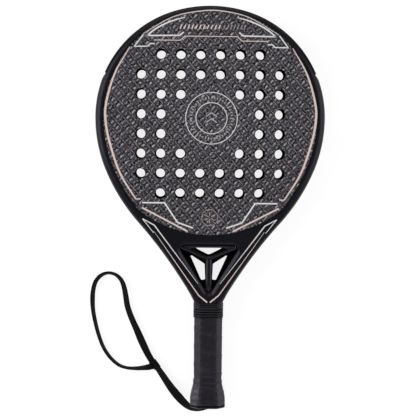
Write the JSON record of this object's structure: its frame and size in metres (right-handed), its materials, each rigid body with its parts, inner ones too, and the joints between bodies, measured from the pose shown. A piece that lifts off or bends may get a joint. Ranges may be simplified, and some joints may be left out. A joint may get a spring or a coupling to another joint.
{
  "type": "padel racket",
  "caption": "Padel racket: rounded tube frame, perforated textured faces on a foam core, open throat with a Y web, wrapped eight-sided grip and a webbing wrist strap.",
  "frame": {"origin": "middle of the racket's length and width, on the surface that it lies on, with the wrist strap left out", "axes": "+Y along the handle from the butt to the crown of the head, +X across the head, +Z out of the front face"},
  "size_m": [0.2641, 0.4606, 0.038],
  "materials": {
    "frame_lacquer": "blue-black gloss lacquer over carbon laminate",
    "neck_lacquer": "satin black lacquer over carbon laminate",
    "insert_plastic": "moulded black plastic",
    "protector_film": "black moulded strip, low gloss",
    "face_rough": "charcoal lacquer with a raised rough diamond pattern",
    "print_white": "printed white line",
    "print_rose": "printed pale rose line, slightly metallic",
    "core_foam": "black EVA foam",
    "pallet_foam": "rigid polyurethane foam",
    "grip_cushion": "cushioned grip band",
    "grip_wrap": "thin tacky wrap, satin",
    "tape_vinyl": "stretched vinyl tape",
    "collar_rubber": "moulded rubber band with ribs",
    "cap_plastic": "moulded black plastic",
    "strap_webbing": "woven black webbing"
  },
  "bodies": {
    "root": {"frame_tube": "frame_lacquer", "throat_bridge": "neck_lacquer", "throat_insert": "insert_plastic", "edge_protector": "protector_film", "front_face": "face_rough", "rear_face": "face_rough", "foam_core": "core_foam", "handle_pallet_front": "pallet_foam", "handle_pallet_rear": "pallet_foam", "base_grip": "grip_cushion", "overgrip": "grip_wrap", "finishing_tape": "tape_vinyl", "grip_collar": "collar_rubber", "butt_cap": "cap_plastic", "butt_plug": "cap_plastic", "strap_anchor": "strap_webbing", "strap_tail": "strap_webbing", "strap_join": "strap_webbing", "strap_loop": "strap_webbing"}
  },
  "joints": []
}
